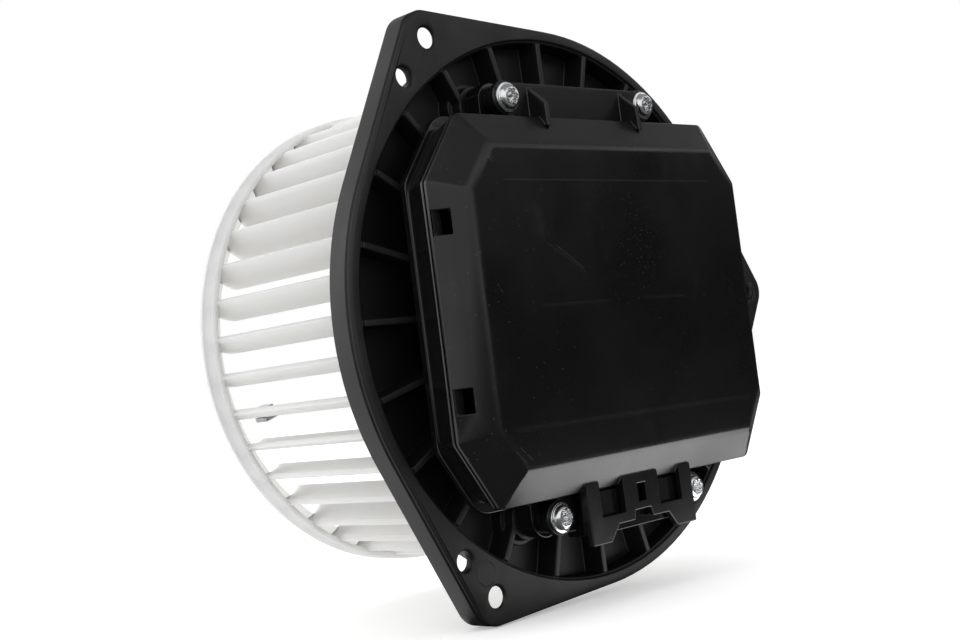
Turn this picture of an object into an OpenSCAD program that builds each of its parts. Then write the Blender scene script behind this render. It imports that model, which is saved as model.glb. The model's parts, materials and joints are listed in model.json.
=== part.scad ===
// Car cabin blower motor: a squirrel-cage wheel on an external-rotor motor,
// carried by a moulded flange with the speed controller on its other side.
// Axes: +X along the motor shaft, out of the controller cover; +Z up.
// The origin is on the shaft axis in the plane of the flange's front face.

/* [Mounting flange] */
// Radius of the round part of the flange
flange_r = 84; // [82:0.5:86]
// Distance of the mounting holes outside the flange's round edge
hole_reach = 6.5; // [5:0.1:8]
// Radius of the two large lobes around their holes
lobe_r = 8; // [6.5:0.5:9]
// Radius of the single ear around its hole
ear_end_r = 6.8; // [6:0.2:8]
// Radius of the mounting holes
bolt_hole_r = 3; // [2.2:0.1:3.2]
// Radius of the locating holes
locating_hole_r = 2.8; // [2:0.1:3]
// Distance of the locating holes outside the flange's round edge
locating_reach = 2.64; // [2:0.02:3.4]
// Angle from a large lobe's hole to the locating hole beside it
locating_turn = 9.66; // [8:0.02:12]
// Thickness of the face plate
face_t = 3; // [2.6:0.1:4]
// Depth of the skirt behind the face
skirt_depth = 9; // [7:0.1:10]
// Thickness of the skirt
skirt_t = 2; // [1.5:0.1:2.6]
// Width of the groove round the skirt
groove_w = 1.2; // [0.8:0.1:1.6]
// Depth of the groove round the skirt
groove_depth = 0.5; // [0.2:0.1:0.8]
// Width of the flat rim between the bowl and the edge
rim_w = 4; // [3:0.1:5]
// Depth of the bowl
bowl_depth = 7.5; // [6.5:0.5:8]
// Thickness of the bowl's floor
floor_t = 2; // [1.6:0.1:2.4]
// Number of radial ribs in the bowl
rib_count = 24; // [18:1:30]
// Thickness of a rib
rib_t = 1.8; // [1.2:0.1:2.4]

/* [Controller] */
// Half the width of the cover
cover_half_w = 67; // [65:0.5:68]
// Half the height of the cover
cover_half_h = 53.2; // [52:0.1:54]
// Width of the cover's cut corners
corner_w = 12; // [9:0.5:14]
// Height of the cover's cut corners
corner_h = 18.7; // [15:0.1:21]
// Height of the cover's edge above the circuit board
edge_above_board = 3.9; // [3.5:0.1:5]
// Rise of the cover from its edge to its plateau
cover_rise = 6.8; // [5.5:0.1:8]
// Inset of the plateau from the cover's edge
plateau_inset = 9.8; // [8:0.1:11]
// Wall thickness of the cover
cover_wall = 2; // [1.6:0.1:2.2]
// Height of the base's lower face above the flange face
base_x = 3.9; // [3:0.1:4.5]
// Thickness of the base's floor and of its ledge
base_floor_t = 2.2; // [1.8:0.1:2.4]
// Wall thickness of the base
base_wall = 2; // [1.6:0.1:2.2]
// Distance of the cover screws from the side of the connector guard
screw_beside_guard = 6.3; // [5.5:0.1:8]
// Distance of the cover screws outside the cover's edge
screw_reach = 5.9; // [5.4:0.1:6.8]
// Radius of a cover screw's shank
screw_r = 2; // [1.6:0.1:2.2]
// Radius of the round ends of the cover's ears
cover_ear_r = 5; // [4.6:0.1:5.4]
// Thickness of the cover's ears
cover_ear_t = 2; // [1.6:0.1:2.4]
// Depth of the ears' front below the cover's edge
ear_drop = 3.5; // [3:0.1:4]
// Width of a latch window
window_w = 6.5; // [5:0.1:8]
// Distance of a latch window's middle from the cut corner
window_from_corner = 11; // [8:0.1:14]
// Thickness of the circuit board
board_t = 1.6; // [1:0.1:1.8]
// Thickness of the heat sink's plate
sink_t = 2.2; // [1.8:0.1:2.6]
// Width of a power transistor
transistor_w = 10; // [8:0.5:12]

/* [Connector] */
// Half the width of the connector guard
guard_half_w = 23.3; // [22.6:0.1:23.8]
// Thickness of the guard plate
guard_t = 2; // [1.6:0.1:2.4]
// Rise of the guard's front above the cover's edge
guard_rise = 2.1; // [1.9:0.1:2.7]
// Distance from the cover's edge to the guard's lowest edge
guard_reach = 15.2; // [14.4:0.1:16.8]
// Distance of the connector shell's side from the guard's side
header_inset = 2.3; // [2:0.1:3.3]
// Wall thickness of the connector shell
header_wall = 1.5; // [1.2:0.1:1.8]

/* [Motor] */
// Radius of the shaft
shaft_r = 4; // [3:0.1:4.4]
// Radial clearance of the shaft in its bearings
bearing_clearance = 0.04; // [0.02:0.01:0.08]
// Outer radius of a bearing bush
bush_r = 6.5; // [6:0.1:7]
// Length of a bearing bush
bush_len = 10; // [7:0.5:12]
// Outer radius of the bearing tube
tube_r = 9.5; // [9:0.1:10]
// Outer radius of the stator core
stator_r = 26.4; // [25:0.1:27]
// Length of the stator core
stack_len = 18; // [14:0.5:20]
// Number of stator teeth
tooth_count = 12; // [9:3:12]
// Width of a stator tooth
tooth_w = 3.6; // [3:0.1:4]
// Air gap between stator and magnets
air_gap = 0.6; // [0.4:0.1:0.9]
// Thickness of the magnet ring
magnet_t = 3.3; // [2.5:0.1:3.5]
// Wall thickness of the rotor cup
cup_t = 1.6; // [1.2:0.1:2]
// Radius of the circle of the carrier's three rubber mounts
grommet_circle_r = 38; // [37:0.5:39]

/* [Fan wheel] */
// Outer radius of the wheel
wheel_r = 75; // [72:0.5:77]
// Gap between the flange's floor and the wheel's back disc
wheel_gap = 4; // [3.5:0.1:5.5]
// Length of the wheel from its back disc to its inlet end
wheel_len = 73; // [66:0.5:78]
// Gap from the motor's carrier to the wheel's back disc round it
disc_room = 10; // [8:0.5:12]
// Length of the band round the inlet end
band_len = 8; // [5:0.5:11]
// Thickness of the band
band_t = 2; // [1.4:0.1:2.6]
// Number of blades
blade_count = 40; // [36:1:46]
// Distance of the blades' inner edges inside the wheel's outer radius
blade_depth = 11.5; // [9:0.5:13]
// Thickness of a blade
blade_t = 1.8; // [1:0.1:1.8]
// Angle of a blade's chord to the radius
blade_stagger = 22; // [15:1:30]
// Depth of a blade's curve
blade_camber = 1.3; // [1:0.1:2.6]
// Wall thickness of the hub
hub_wall = 1.8; // [1.4:0.1:2.4]
// Radius of the flat middle of the hub
hub_flat_r = 14; // [12:0.5:16]
// Gap between the rotor cup's end and the hub's flat middle
hub_gap = 10.2; // [8:0.1:13]
// Radius of the boss on the shaft
boss_r = 9; // [8:0.1:10]
// Length of the boss past the hub's flat middle
boss_len = 9; // [7:0.5:12]

/* [Hidden] */
$fn = 96;
eps = 0.01;
snug = 0.05;      // gap round parts that are pressed or screwed in
gap = 0.3;        // gap between mouldings that meet
reach = 1;        // how far a cutting shape stands past what it cuts

// Heat sink and board, from the side of the cover inwards
sink_from_side = [61, 21];
sink_from_edge = 23.2;
sink_y = [cover_half_w - sink_from_side[0], cover_half_w - sink_from_side[1]];
sink_half_z = cover_half_h - sink_from_edge;
sink_post_len = 3;
sink_screw_inset = 3;
sink_screw_r = 1.5;
sink_post_r = 3;
fin_count = 6;
fin_t = 1.5;
fin_inset = [8, 10];
fin_y = [sink_y[0] + fin_inset[0], sink_y[1] - fin_inset[1]];
fin_half_z = sink_half_z - fin_inset[0];
fin_room = 1;
fin_above_floor = 2;
transistor_t = 1.9;
transistor_inset = 12;
transistor_y = [sink_y[0] + transistor_inset, sink_y[1] - transistor_inset];
transistor_z = sink_half_z - transistor_inset;
latch_t = 1.6;
latch_inset = 9.8;
latch_y = cover_half_w - latch_inset;
board_inset = latch_inset + latch_t + gap;
post_inset = [19, 19.2];
post_y = cover_half_w - post_inset[0];
post_z = cover_half_h - post_inset[1];
post_r = 3;
post_screw_r = 1.25;
post_screw_len = 3;

// Flange
bolt_circle_r = flange_r + hole_reach;
locating_circle_r = flange_r + locating_reach;
lobe_angles = [120, 240];
locating_angles = [lobe_angles[0] + locating_turn, lobe_angles[1] - locating_turn];
bowl_r = flange_r - rim_w;
bowl_wall_r = bowl_r + skirt_t + 0.3;
floor_top = -bowl_depth;
floor_x = floor_top - floor_t;
groove_start = 0.9;
step_w = 0.8;
step_depth = 0.8;
hole_wall = 2.2;
hole_land_t = 1.4;
ring_wall_t = 2;
ring_wall_room = 3.81;
ring_wall_r = norm([fin_y[1], fin_half_z]) + ring_wall_room + ring_wall_t;
ring_wall_top = -1;
floor_hole_r = 16;
foot_boss_r = screw_r + 4.2;
foot_boss_top = 1;
foot_spread = 1.4;
foot_height = 4;
pin_mark_r = 2.8;
pin_mark_line = 0.3;
pin_mark_depth = 0.3;
pin_mark_circle_r = flange_r - 6.1;
pin_mark_angles = [lobe_angles[0] + 6.5, lobe_angles[1] - 6.5];

// Controller stack, from the flange outwards
base_floor_top = base_x + base_floor_t;
sink_x = base_floor_top + 0.1;
fin_tip = floor_top + fin_above_floor;
board_x = sink_x + sink_t + transistor_t + 0.1;
board_top = board_x + board_t;
cover_edge_x = board_top + edge_above_board;
plate_x = cover_edge_x + cover_rise;
inner_top = plate_x - cover_wall;
skirt_x = cover_edge_x - 1.3;
base_rim_top = skirt_x - gap;
base_rim_t = 1.3;
ledge_sideways = -1.3;
ledge_upwards = 1.4;
top_corner_more = 1.8;
base_corner_r = 7;
rim_corner_r = 2.5;
corner_steps = 4;
wall_inset_low = 1.9;
wall_inset_high = 0.6;
base_ear_r = cover_ear_r + 0.5;
base_ear_front = base_floor_top + 0.9;
ear_front_x = cover_edge_x - ear_drop;
cover_ear_back = ear_front_x - cover_ear_t;
sleeve_r = screw_r + 2.2;
ear_edge = 4.6;
edge_soften = 4;
window_z = cover_half_h - corner_h - window_from_corner;
window_x = cover_edge_x + 0.2;
window_rise = 2.8;
window_reach = 9;
latch_nose_t = 2;
latch_nose_len = 3.6;
latch_side_gap = 0.4;
screw_tip = -5;
screw_flange_r = screw_r + 2.3;
screw_flange_t = 0.9;
screw_head = [[1.5, 0], [1.5, 1.6], [1.2, 2.2], [0.6, 2.6]];    // beyond the shank's radius, and height
screw_head_h = 2.8;
screw_recess_x = 1;

// Connector
screw_y = guard_half_w + screw_beside_guard;
screw_z = cover_half_h + screw_reach;
notch_half_w = screw_y + cover_ear_r + 1.4;
notch_x = cover_ear_back - gap;
guard_low_z = cover_half_h + guard_reach;
guard_front_x = cover_edge_x + guard_rise;
guard_root = 2.2;
header_half_w = guard_half_w - header_inset;
header_x = [base_floor_top + gap, skirt_x + 0.8];
header_z = [guard_low_z - 2.4, cover_half_h + 0.8];
cavity_depth = 9;
cavity_rib = 3;
tongue_len = 5;
guard_window = [3.5, 5.3];
guard_window_z = guard_low_z - 12;
prong_inner = guard_half_w - 5.3;
post_half_w = 7.8;
slot_low_z = guard_low_z - 7.4;
tie_rise = 4.5;
tie_ends = [-11.4, 11];
foot_ends = [-15.4, 14.4];
tie_notch = [-4.4, 3.8];
tie_notch_rise = 7.2;
tie_notch_slope = 0.6;
prong_wall_t = 1.5;
post_wall_t = 1.4;
gusset_y = 20;
gusset_t = 1.6;
gusset_rise = 6.2;
pin_t = 0.8;
pin_room = 0.1;
pin_end_inset = 5;
pin_on_board = 5.5;
pin_end_z = guard_low_z - pin_end_inset;
pin_root_z = cover_half_h - board_inset - pin_on_board;
wide_pin_w = 2.8;
narrow_pin_w = 1.2;
pin_pitch = 4.5;
wide_pin_step = 7;
outer_pin_inset = [6, 5.5];
wide_pins = [outer_pin_inset[0] - header_half_w, outer_pin_inset[0] - header_half_w + wide_pin_step];
narrow_pins = [for (i = [2, 1, 0]) header_half_w - outer_pin_inset[1] - i * pin_pitch];

// Capacitors and choke
choke_inset = [39, 33.2];
choke_at = [choke_inset[0] - cover_half_w, cover_half_h - choke_inset[1]];
choke_r = [5.5, 10];
choke_x = [board_top + 1.1, inner_top - 1.6];
turn_t = 1;
turn_w = 1.4;
turn_count = 12;
capacitor_r = (inner_top - board_top - 0.9) / 2;
capacitor_len = 18;
capacitor_pitch = 9.5;
capacitor_inset = 21;
capacitor_below_choke = 44;
capacitor_at = [capacitor_inset - cover_half_w, choke_at[1] - capacitor_below_choke];

// Motor stack, from the flange towards the wheel
grommet_flange_t = 1.2;
grommet_flange_r = 7;
grommet_body_r = 5;
carrier_back = floor_x - grommet_flange_t;
carrier_t = 3;
carrier_front = carrier_back - carrier_t;
carrier_r = grommet_circle_r + grommet_flange_r + 1;
carrier_angles = [60, 180, 300];
carrier_boss_r = screw_r + 2.5;
washer_t = 0.6;
washer_r = 6.2;
mount_washer_r = screw_r + 4;
mount_head_h = 2.2;
window_circle_r = 26;
window_r = 6.5;
terminal_angle = 240;
terminal_circle_r = stator_r - 2;
terminal_pitch = 3.6;
terminal_w = 2;
terminal_t = 0.8;
stack_start = carrier_front - 10.3;
stack_end = stack_start - stack_len;
insulator_t = 1.2;
coil_t = 1.4;
coil_start = stack_start + insulator_t + coil_t;
coil_end = stack_end - insulator_t - coil_t;
core_ring_t = 5;
tooth_tip_t = 1.8;
tube_end = coil_end + 0.6;
magnet_in = stator_r + air_gap;
magnet_out = magnet_in + magnet_t;
magnet_overhang = 2;
cup_in = magnet_out + snug;
cup_out = cup_in + cup_t;
cup_lip = 1.2;
cup_hole_r = 4;
cup_hole_circle_r = 20;
cup_floor = coil_end - 1.6;
cup_end = cup_floor - cup_t;
cup_mouth = carrier_front - 4.8;
rotor_hub_r = 7;
rotor_hub_flange_r = 9;
rotor_hub_start = tube_end - 0.8;
rotor_hub_end = cup_end - 1;
tail_washer_x = carrier_back + 0.1;
clip_x = tail_washer_x + washer_t + 0.1;
clip_t = 0.8;
clip_groove_r = shaft_r - 0.8;
shaft_tail = clip_x + clip_t + 1.6;

// Wheel
wheel_start = bowl_depth + floor_t + wheel_gap;
wheel_end = wheel_start + wheel_len;
disc_t = 2;
disc_inner_r = carrier_r + disc_room;
hub_rise_x = wheel_start + disc_t * 0.6;
hub_end = -cup_end + hub_gap;
boss_end = hub_end + boss_len;
blade_inner_r = wheel_r - blade_depth;
blade_outer_r = wheel_r - band_t + 0.2;
blade_end = wheel_end - 2.5;
band_edge = 0.7;
nut_start = -boss_end - 1.2;
nut_len = 5.5;
nut_flats = 13;
shaft_tip = nut_start - nut_len - 3.4;

// Balance weight on the inner edge of one blade
balance_blade = 22;
balance_len = 5.5;
balance_x = -wheel_end + 7.5;
balance_out = 1.2;
balance_grip = 3.3;
balance_thin = 0.5;
balance_thick = 1.4;
balance_room = 0.25;

// Point at an angle and radius
function polar(a, r) = [r * cos(a), r * sin(a)];

// Corner-cut rectangle, drawn in by an inset
function cut_cy(d) = corner_w + d * ((norm([corner_w, corner_h]) - corner_w) / corner_h - 1);
function cut_cz(d) = corner_h + d * ((norm([corner_w, corner_h]) - corner_h) / corner_w - 1);
function octagon(d, sideways = 0, upwards = 0) =
    let (w = cover_half_w - d + sideways, h = cover_half_h - d + upwards,
         cy = cut_cy(d), cz = cut_cz(d), top = cy + top_corner_more)
    [[w, cz - h], [w, h - cz], [w - top, h], [top - w, h],
     [-w, h - cz], [-w, cz - h], [cy - w, -h], [w - cy, -h]];

// Outline with each corner rounded
function unit(v) = v / norm(v);
function rounded(outline, r) = [
    for (i = [0 : len(outline) - 1])
        let (p = outline[i], back = unit(outline[(i + len(outline) - 1) % len(outline)] - p),
             ahead = unit(outline[(i + 1) % len(outline)] - p), half = acos(back * ahead) / 2,
             centre = p + unit(back + ahead) * r / sin(half),
             from = p + back * r / tan(half) - centre, to = p + ahead * r / tan(half) - centre)
        for (k = [0 : corner_steps])
            centre + r * unit(from * (corner_steps - k) + to * k)];

// Extrudes a shape drawn in Y and Z along X
module slab(x0, x1) translate([x0, 0, 0]) rotate([90, 0, 90]) linear_extrude(x1 - x0) children();

// Turns a profile of [radius, x] points about the X axis
module turned() rotate([90, 0, 90]) rotate_extrude() children();

// Rod or tube along X at a place in Y and Z
module rod(x0, x1, r, at = [0, 0])
    translate([x0, at[0], at[1]]) rotate([0, 90, 0]) cylinder(h = x1 - x0, r = r);

module block(x, y, z) translate([x[0], y[0], z[0]]) cube([x[1] - x[0], y[1] - y[0], z[1] - z[0]]);

// Copies at the four cover screws
module at_cover_screws() for (sy = [-1, 1], sz = [-1, 1])
    translate([0, sy * screw_y, sz * screw_z]) children();

// Flange outline: a disc with tangent lobes, drawn in by an inset
function arc(centre, r, a0, a1, step) =
    let (n = ceil((a1 - a0) / step)) [for (i = [0 : n]) centre + polar(a0 + (a1 - a0) * i / n, r)];
function lobe_spread(end_r) = acos((flange_r - end_r) / bolt_circle_r);
function lobe_arc(angle, end_r, inset) =
    let (spread = lobe_spread(end_r))
    arc(polar(angle, bolt_circle_r), end_r - inset, angle - spread, angle + spread, 6);
function rim_arc(a0, a1, inset) = arc([0, 0], flange_r - inset, a0, a1, 3);

module flange_outline(inset) {
    ear = lobe_spread(ear_end_r);
    side = lobe_spread(lobe_r);
    polygon(concat(
        lobe_arc(0, ear_end_r, inset), rim_arc(ear, lobe_angles[0] - side, inset),
        lobe_arc(lobe_angles[0], lobe_r, inset),
        rim_arc(lobe_angles[0] + side, lobe_angles[1] - side, inset),
        lobe_arc(lobe_angles[1], lobe_r, inset), rim_arc(lobe_angles[1] + side, 360 - ear, inset)));
}

module mounting_holes(r) for (a = concat([0], lobe_angles)) translate(polar(a, bolt_circle_r)) circle(r);

module locating_holes(r) for (a = locating_angles) translate(polar(a, locating_circle_r)) circle(r);

// Copies at the carrier's three rubber mounts
module at_mounts() for (a = carrier_angles)
    translate([0, grommet_circle_r * cos(a), grommet_circle_r * sin(a)]) children();

module bowl_rib(angle)
    rotate(angle) translate([ring_wall_r - reach, -rib_t / 2])
        square([bowl_r - ring_wall_r + 2 * reach, rib_t]);

module mounting_flange() color([0.09, 0.09, 0.1]) difference() {
    union() {
        // face plate and skirt, with a groove round them
        difference() {
            slab(-skirt_depth, 0) flange_outline(0);
            slab(-skirt_depth - reach, -face_t) flange_outline(skirt_t);
            slab(-groove_start - groove_w, -groove_start) difference() {
                flange_outline(-reach);
                flange_outline(groove_depth);
            }
        }
        slab(floor_x, -face_t) circle(bowl_wall_r);
    }
    // hollows behind the mounting holes
    slab(-face_t - reach, -hole_land_t) mounting_holes(bolt_hole_r + hole_wall);
    difference() {
        slab(floor_top, reach) circle(bowl_r);
        // what stays standing in the bowl
        slab(floor_top - reach, 0) for (i = [0 : rib_count - 1]) bowl_rib(i * 360 / rib_count);
        slab(floor_top - reach, ring_wall_top) difference() {
            circle(ring_wall_r);
            circle(ring_wall_r - ring_wall_t);
        }
        at_cover_screws() {
            rod(floor_top - reach, foot_boss_top, foot_boss_r);
            rod(floor_top - reach, floor_top + foot_height, foot_boss_r + foot_spread);
        }
        at_mounts() rod(floor_top - reach, ring_wall_top, carrier_boss_r);
    }
    slab(-step_depth, reach) difference() {
        circle(bowl_r + step_w);
        circle(bowl_r);
    }
    slab(floor_x - reach, floor_top + reach) {
        circle(floor_hole_r);
        translate(polar(terminal_angle, window_circle_r)) circle(window_r);
    }
    slab(-skirt_depth - reach, reach) {
        mounting_holes(bolt_hole_r);
        locating_holes(locating_hole_r);
    }
    at_cover_screws() rod(screw_tip - reach, foot_boss_top + reach, screw_r + snug);
    at_mounts() rod(floor_x - reach, ring_wall_top + reach, screw_r + snug);
    // round marks of the mould's ejector pins
    for (a = pin_mark_angles) slab(-pin_mark_depth, reach) translate(polar(a, pin_mark_circle_r))
        difference() {
            circle(pin_mark_r);
            circle(pin_mark_r - pin_mark_line);
        }
}

// Aluminium carrier: plate on three rubber mounts with the bearing tube
module stator_carrier() color([0.72, 0.73, 0.75]) difference() {
    union() {
        slab(carrier_front, carrier_back) difference() {
            circle(carrier_r);
            for (a = [0, 120, 240]) translate(polar(a, window_circle_r)) circle(window_r);
        }
        rod(stack_start + 0.1, carrier_front, tube_r + 3);
        rod(tube_end, stack_start + 0.1, tube_r);
    }
    rod(tube_end - reach, carrier_back + reach, shaft_r + 1.5);
    rod(tube_end - reach, tube_end + bush_len, bush_r + snug);
    rod(carrier_back - bush_len, carrier_back + reach, bush_r + snug);
    at_mounts() rod(carrier_front - reach, carrier_back + reach, grommet_body_r + snug);
}

module carrier_grommets() color([0.05, 0.05, 0.05]) at_mounts() difference() {
    union() {
        rod(carrier_back, floor_x, grommet_flange_r);
        rod(carrier_front, carrier_back, grommet_body_r);
        rod(carrier_front - grommet_flange_t, carrier_front, grommet_flange_r);
    }
    rod(carrier_front - grommet_flange_t - reach, floor_x + reach, screw_r + 0.4);
}

module carrier_screws() color([0.7, 0.7, 0.72]) at_mounts() {
    under_head = carrier_front - grommet_flange_t;
    difference() {
        union() {
            rod(under_head, ring_wall_top - 0.5, screw_r);
            rod(under_head - washer_t, under_head, mount_washer_r);
            rod(under_head - washer_t - mount_head_h, under_head - washer_t, 2 * screw_r);
        }
        slab(under_head - 2 * mount_head_h, under_head - 2 * washer_t) torx_outline(screw_r);
    }
}

// Six-lobed recess of a screw head
module torx_outline(r) {
    circle(r * 0.72);
    for (i = [0 : 5]) rotate(i * 60) translate([r * 0.72, 0]) circle(r * 0.28);
}

module bush(x0) color([0.72, 0.5, 0.25]) difference() {
    rod(x0, x0 + bush_len, bush_r);
    rod(x0 - reach, x0 + bush_len + reach, shaft_r + bearing_clearance);
}

module rear_bearing() bush(carrier_back - bush_len);

module front_bearing() bush(tube_end);

module stator_teeth(tip_t) {
    for (i = [0 : tooth_count - 1]) rotate(i * 360 / tooth_count) {
        translate([tube_r + core_ring_t - reach, -tooth_w / 2])
            square([stator_r - tube_r - core_ring_t + reach - tip_t / 2, tooth_w]);
        intersection() {
            difference() {
                circle(stator_r);
                circle(stator_r - tip_t);
            }
            half = 150 / tooth_count;
            polygon([[0, 0], polar(-half, 2 * stator_r), polar(half, 2 * stator_r)]);
        }
    }
}

module stator_core() color([0.45, 0.46, 0.48]) slab(stack_end, stack_start) difference() {
    union() {
        circle(tube_r + core_ring_t);
        stator_teeth(tooth_tip_t);
    }
    circle(tube_r + snug);
}

module stator_insulators() color([0.85, 0.83, 0.75]) {
    for (x0 = [stack_start, stack_end - insulator_t]) slab(x0, x0 + insulator_t) difference() {
        union() {
            circle(tube_r + core_ring_t + 1);
            stator_teeth(tooth_tip_t - 0.2);
        }
        circle(tube_r + 3.2);
    }
}

// Outline of the wire round a tooth
module coil_frame(grow) {
    half_w = tooth_w / 2 + 0.1 + grow;
    lo = stack_end - insulator_t - grow;
    hi = stack_start + insulator_t + grow;
    translate([lo, -half_w]) square([hi - lo, 2 * half_w]);
}

module stator_windings() color([0.72, 0.35, 0.15]) {
    inner = tube_r + core_ring_t + 1.5;
    outer = stator_r - tooth_tip_t - 0.4;
    for (i = [0 : tooth_count - 1]) rotate([i * 360 / tooth_count, 0, 0])
        translate([0, inner, 0]) rotate([-90, 0, 0]) linear_extrude(outer - inner) difference() {
            coil_frame(coil_t);
            coil_frame(0);
        }
}

// Blocks along X at the three terminals, grown on all sides
module at_terminals(x, grow) rotate([terminal_angle, 0, 0]) for (i = [-1 : 1]) {
    half = [terminal_t / 2 + grow, terminal_w / 2 + grow];
    block(x, [terminal_circle_r - half[0], terminal_circle_r + half[0]],
          [i * terminal_pitch - half[1], i * terminal_pitch + half[1]]);
}

module phase_terminals() color([0.8, 0.6, 0.3]) at_terminals([coil_start + 0.4, board_x - 0.1], 0);

// Controller base: tray with a ledge, four lugs, board posts and latches
module base_wall_outer() hull() {
    slab(base_floor_top - eps, base_floor_top) polygon(rounded(octagon(wall_inset_low), base_corner_r));
    slab(base_rim_top - base_rim_t, base_rim_top - base_rim_t + eps)
        polygon(rounded(octagon(wall_inset_high), rim_corner_r));
}

module latch(side, z0) mirror([0, side > 0 ? 0 : 1, 0]) {
    z = [z0 - window_w / 2 + latch_side_gap, z0 + window_w / 2 - latch_side_gap];
    nose = [window_x + 0.2, window_x + 0.2 + latch_nose_t];
    block([base_floor_top - eps, nose[1]], [latch_y - latch_t, latch_y], z);
    block(nose, [latch_y - eps, latch_y + latch_nose_len], z);
}

// Copies at the board's four posts, and at the heat sink's four screws
module at_posts() for (sy = [-1, 1], sz = [-1, 1]) translate([0, sy * post_y, sz * post_z]) children();
module at_sink_screws() for (y = [sink_y[0] + sink_screw_inset, sink_y[1] - sink_screw_inset], s = [-1, 1])
    translate([0, y, s * (sink_half_z - sink_screw_inset)]) children();

module controller_base() color([0.08, 0.08, 0.09]) difference() {
    union() {
        difference() {
            union() {
                slab(base_x, base_floor_top)
                    polygon(rounded(octagon(0, ledge_sideways, ledge_upwards), base_corner_r));
                base_wall_outer();
                slab(base_rim_top - base_rim_t, base_rim_top) polygon(rounded(octagon(0), rim_corner_r));
            }
            slab(base_floor_top, base_rim_top + reach) polygon(octagon(wall_inset_low + base_wall));
            // step for the cover's deeper sides at the ears
            for (s = [0, 1]) mirror([0, 0, s])
                block([notch_x, base_rim_top + reach], [-notch_half_w, notch_half_w],
                      [cover_half_h - cover_wall - gap, cover_half_h + reach]);
        }
        // lugs under the cover's ears
        at_cover_screws() rod(foot_boss_top + 0.1, base_ear_front, base_ear_r);
        for (s = [0, 1], y = [-screw_y, screw_y]) mirror([0, 0, s])
            block([foot_boss_top + 0.1, base_ear_front], [y - base_ear_r, y + base_ear_r],
                  [cover_half_h - 3, screw_z]);
        at_posts() rod(base_floor_top - eps, board_x, post_r);
        at_sink_screws() rod(base_x - sink_post_len, base_x + eps, sink_post_r);
        for (side = [-1, 1], s = [-1, 1]) latch(side, s * window_z);
    }
    // room for the connector's tongue
    block([notch_x, base_rim_top + reach], [-header_half_w, header_half_w],
          [-cover_half_h - reach, -cover_half_h + tongue_len]);
    at_cover_screws() rod(0, base_ear_front + reach, screw_r + gap);
    at_posts() rod(board_x - post_screw_len - 0.5, board_x + reach, post_screw_r + snug);
    // window for the heat sink's fins and slots for the motor's terminals
    block([base_x - reach, base_floor_top + reach], [fin_y[0] - fin_room, fin_y[1] + fin_room],
          [-fin_half_z - fin_room, fin_half_z + fin_room]);
    at_terminals([base_x - reach, base_floor_top + reach], gap);
    at_sink_screws() rod(base_x - sink_post_len - reach, base_floor_top + reach, sink_screw_r + snug);
}

module heat_sink() color([0.7, 0.71, 0.73]) difference() {
    union() {
        block([sink_x, sink_x + sink_t], sink_y, [-sink_half_z, sink_half_z]);
        for (i = [0 : fin_count - 1]) {
            y0 = fin_y[0] + i * (fin_y[1] - fin_y[0] - fin_t) / (fin_count - 1);
            block([fin_tip, sink_x + eps], [y0, y0 + fin_t], [-fin_half_z, fin_half_z]);
        }
    }
    at_sink_screws() rod(sink_x - reach, sink_x + sink_t + reach, sink_screw_r + 0.2);
}

module heat_sink_screws() color([0.7, 0.7, 0.72]) at_sink_screws() {
    rod(base_x - sink_post_len + 0.5, sink_x + sink_t, sink_screw_r);
    rod(sink_x + sink_t, sink_x + sink_t + sink_screw_r, sink_screw_r + 1.3);
}

module power_transistors() color([0.12, 0.12, 0.12]) {
    half = transistor_w / 2;
    for (y = transistor_y, z = [-transistor_z, 0, transistor_z])
        block([sink_x + sink_t, sink_x + sink_t + transistor_t], [y - half, y + half], [z - half, z + half]);
}

module circuit_board() color([0.1, 0.35, 0.15]) difference() {
    slab(board_x, board_top) polygon(octagon(board_inset));
    at_posts() rod(board_x - reach, board_top + reach, post_screw_r + 0.2);
}

module board_screws() color([0.75, 0.75, 0.77]) at_posts() {
    rod(board_x - post_screw_len, board_top, post_screw_r);
    rod(board_top, board_top + 1.4, 2 * post_screw_r);
}

module capacitors() color([0.2, 0.22, 0.3]) for (i = [0 : 2])
    translate([board_top + capacitor_r + 0.1, capacitor_at[0], capacitor_at[1] + i * capacitor_pitch])
        rotate([-90, 0, 0]) cylinder(h = capacitor_len, r = capacitor_r);

// Choke: ring core and the turns round it
module choke_core() color([0.25, 0.25, 0.27]) translate([0, choke_at[0], choke_at[1]]) difference() {
    rod(choke_x[0], choke_x[1], choke_r[1]);
    rod(choke_x[0] - reach, choke_x[1] + reach, choke_r[0]);
}

module choke_section(grow) translate([choke_x[0] - grow, choke_r[0] - grow])
    square([choke_x[1] - choke_x[0] + 2 * grow, choke_r[1] - choke_r[0] + 2 * grow]);

module choke_winding() color([0.72, 0.35, 0.15])
    for (i = [0 : turn_count - 1]) translate([0, choke_at[0], choke_at[1]])
        rotate([(i + 0.5) * 360 / turn_count, 0, 0])
            translate([0, 0, -turn_w / 2]) linear_extrude(turn_w) difference() {
                choke_section(turn_t);
                choke_section(0.1);
            }

module cover_seal() color([0.15, 0.15, 0.15]) slab(base_rim_top, skirt_x) difference() {
    polygon(octagon(0.7));
    polygon(octagon(cover_wall - 0.1));
    for (s = [0, 1]) mirror([0, s])
        translate([-notch_half_w, cover_half_h - 2 * cover_wall])
            square([2 * notch_half_w, 2 * cover_wall + reach]);
}

// Controller cover: plateau with sloping sides, ears and connector guard
module cover_shell_outer() hull() {
    slab(skirt_x, cover_edge_x) polygon(rounded(octagon(0), rim_corner_r));
    bevel = plateau_inset / cover_rise;
    low = plate_x - edge_soften * 0.32;
    high = plate_x - edge_soften * 0.1;
    slab(low, low + eps) polygon(octagon((low - cover_edge_x) * bevel));
    slab(high, high + eps) polygon(octagon(plateau_inset - edge_soften * 0.1));
    slab(plate_x - eps, plate_x) polygon(octagon(plateau_inset + edge_soften * 0.3));
}

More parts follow.
